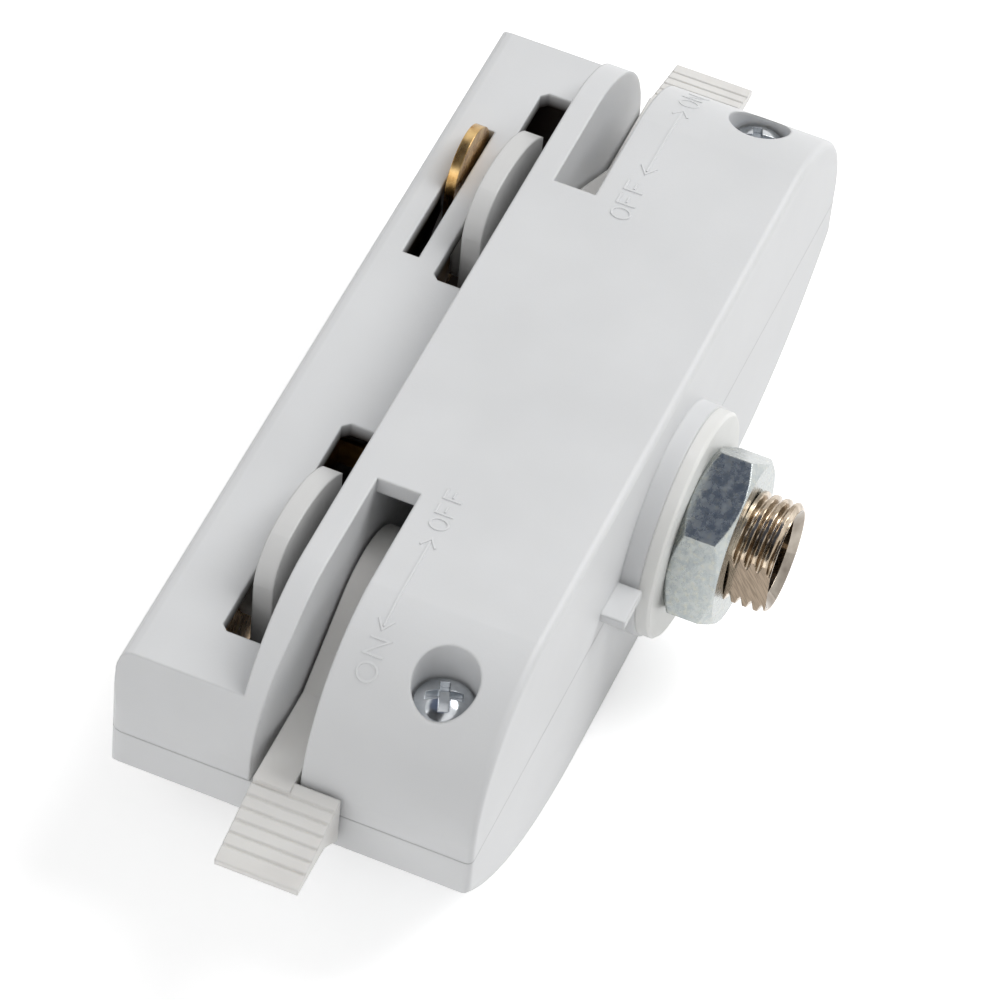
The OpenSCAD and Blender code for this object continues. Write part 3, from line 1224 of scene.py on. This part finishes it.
@dataclass
class Studio:
    """White floor, soft lamps and a white surround.

    Attributes:
        floor_half: Half width of the floor.
        paper_deep: Hex colour of the floor's darker parts.
        paper_pale: Hex colour of its lighter parts.
        paper_mm: Size of the floor's faint patches.
        weave_mm: Size of the pattern in the dark cloths, far coarser than a real weave.
        glow: Share of white that the floor shows of itself.
        world_level: Strength of the surround's light on the object.
        lamps: The soft lamps.
        flags: The dark cloths.
    """

    floor_half: float = 3000.0
    paper_deep: str = "f6f6f6"
    paper_pale: str = "f8f8f8"
    paper_mm: float = 60.0
    weave_mm: float = 25.0
    glow: float = 0.44
    world_level: float = 0.36
    lamps: tuple[Lamp, ...] = (
        Lamp("key", (390.0, -330.0, 600.0), 560.0, 4.1),
        Lamp("fill", (-520.0, 240.0, 420.0), 700.0, 1.4),
        Lamp("near fill", (-480.0, -440.0, 300.0), 600.0, 0.2),
    )
    flags: tuple[Flag, ...] = (
        Flag("flag_overhead", (40.0, 80.0, 400.0), 190.0, UP, "667087", "747e95"),
        Flag("flag_near", (-340.0, 120.0, 500.0), 230.0, (0.55, -0.2, -0.8), "1d1f23", "2a2c31"),
    )

    def seen(self, tree: Tree) -> Socket:
        """Mask of the rays that see the surround: from the camera, in gloss and through glass.

        Args:
            tree: Tree to add to.

        Returns:
            Socket that is 1 for those rays.
        """
        rays = add_node(tree, "ShaderNodeLightPath").outputs
        mask = rays["Is Camera Ray"]
        for name in ("Is Glossy Ray", "Is Transmission Ray"):
            either = {0: mask, 1: rays[name]}
            mask = add_node(tree, "ShaderNodeMath", either, operation="MAXIMUM").outputs[0]
        return mask

    def surround(self) -> None:
        """Makes a world that looks white and gives soft light."""
        world = bpy.data.worlds.new("white_surround")
        tree = blank_tree(world)
        level = add_node(
            tree,
            "ShaderNodeMapRange",
            {"Value": self.seen(tree), "To Min": self.world_level, "To Max": 1.0},
        ).outputs["Result"]
        light = add_node(tree, "ShaderNodeBackground", {"Color": linear(WHITE), "Strength": level})
        add_node(tree, "ShaderNodeOutputWorld", {"Surface": light.outputs[0]})
        bpy.context.scene.world = world

    def matt(self, tree: Tree, patch_mm: float, deep: str, pale: str) -> Socket:
        """Adds a surface without gloss, for paper and cloth.

        Args:
            tree: Tree to add to.
            patch_mm: Size of its pattern.
            deep: Hex colour of its darker parts.
            pale: Hex colour of its lighter parts.

        Returns:
            The surface's shader.
        """
        place = add_node(tree, "ShaderNodeTexCoord").outputs["Object"]
        patches = {"Vector": place, "Scale": per_mm(patch_mm), "Detail": GRAIN_DETAIL}
        pattern = add_node(tree, "ShaderNodeTexNoise", patches).outputs["Fac"]
        colour = two_tone(tree, pattern, deep, pale)
        return add_node(tree, "ShaderNodeBsdfDiffuse", {"Color": colour}).outputs[0]

    def sheet(
        self, name: str, middle: Point, half: float, facing: Point, material: bpy.types.Material
    ) -> bpy.types.Object:
        """Adds a flat square of the studio.

        Args:
            name: Name of the sheet.
            middle: Its middle.
            half: Half of its width.
            facing: Direction that its face looks in.
            material: What it is made of.

        Returns:
            The new object, marked as stage.
        """
        side = half * MM
        corners = [(-side, -side, 0.0), (side, -side, 0.0), (side, side, 0.0), (-side, side, 0.0)]
        mesh = bpy.data.meshes.new(name)
        mesh.from_pydata(corners, [], [(0, 1, 2, 3)])
        mesh.materials.append(material)
        sheet = bpy.data.objects.new(name, mesh)
        sheet.location = Vector(middle) * MM
        sheet.rotation_mode = "QUATERNION"
        sheet.rotation_quaternion = Vector(facing).to_track_quat("Z", "Y")
        bpy.context.scene.collection.objects.link(sheet)
        log.info("%s laid out", name)
        return sheet

    def floor(self) -> None:
        """Adds a white floor, on which the object lies and throws its shadow."""
        # White paper, uncoated: no gloss, only the soft shadow
        material = bpy.data.materials.new("paper_white_matt")
        tree = blank_tree(material)
        paper = self.matt(tree, self.paper_mm, self.paper_deep, self.paper_pale)
        level = add_node(
            tree, "ShaderNodeMath", {0: self.seen(tree), 1: self.glow}, operation="MULTIPLY"
        ).outputs[0]
        glow = add_node(tree, "ShaderNodeEmission", {"Color": linear(WHITE), "Strength": level})
        both = add_node(tree, "ShaderNodeAddShader", {0: paper, 1: glow.outputs[0]})
        add_node(tree, "ShaderNodeOutputMaterial", {"Surface": both.outputs[0]})
        floor_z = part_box("lower_shell")[0].z / MM
        self.sheet("floor", (0.0, 0.0, floor_z), self.floor_half, UP, material)

    def hang_flags(self) -> None:
        """Adds the dark cloths that show only as reflections in gloss."""
        for flag in self.flags:
            # Cotton cloth, woven and dyed: dark and matt, a soft dark shape in bright metal
            material = bpy.data.materials.new(f"cloth_woven_{flag.name}")
            tree = blank_tree(material)
            cloth = self.matt(tree, self.weave_mm, flag.deep, flag.pale)
            add_node(tree, "ShaderNodeOutputMaterial", {"Surface": cloth})
            sheet = self.sheet(flag.name, flag.middle, flag.half, flag.facing, material)
            sheet.visible_camera = False
            sheet.visible_diffuse = False
            sheet.visible_shadow = False
            sheet.visible_transmission = False

    def light(self) -> None:
        """Adds the soft lamps, each aimed at the object."""
        for lamp in self.lamps:
            data = bpy.data.lights.new(lamp.name, "AREA")
            data.shape = "DISK"
            data.size = lamp.size * MM
            data.energy = lamp.watts
            holder = bpy.data.objects.new(lamp.name, data)
            holder.location = Vector(lamp.place) * MM
            holder.rotation_mode = "QUATERNION"
            holder.rotation_quaternion = (-holder.location).to_track_quat("-Z", "Y")
            bpy.context.scene.collection.objects.link(holder)
            log.info("lamp %s set", lamp.name)

    def build(self) -> None:
        """Sets up the view transform, surround, floor, cloths and lamps."""
        bpy.context.scene.view_settings.view_transform = "Standard"
        self.surround()
        self.floor()
        self.hang_flags()
        self.light()


def main() -> None:
    """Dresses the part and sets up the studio."""
    paint = Paint()
    shells = Shells(paint)
    shells.dress()
    shells.mark()
    for end in End:
        TurningGroup(paint, end).dress()
    stack = NippleStack(paint)
    stack.dress()
    stack.thread()
    Wiring(paint).dress()
    CaseScrews(paint).dress()
    Studio().build()
    PhotoCamera().build()
    bpy.context.view_layer.update()


if __name__ == "__main__":
    main()
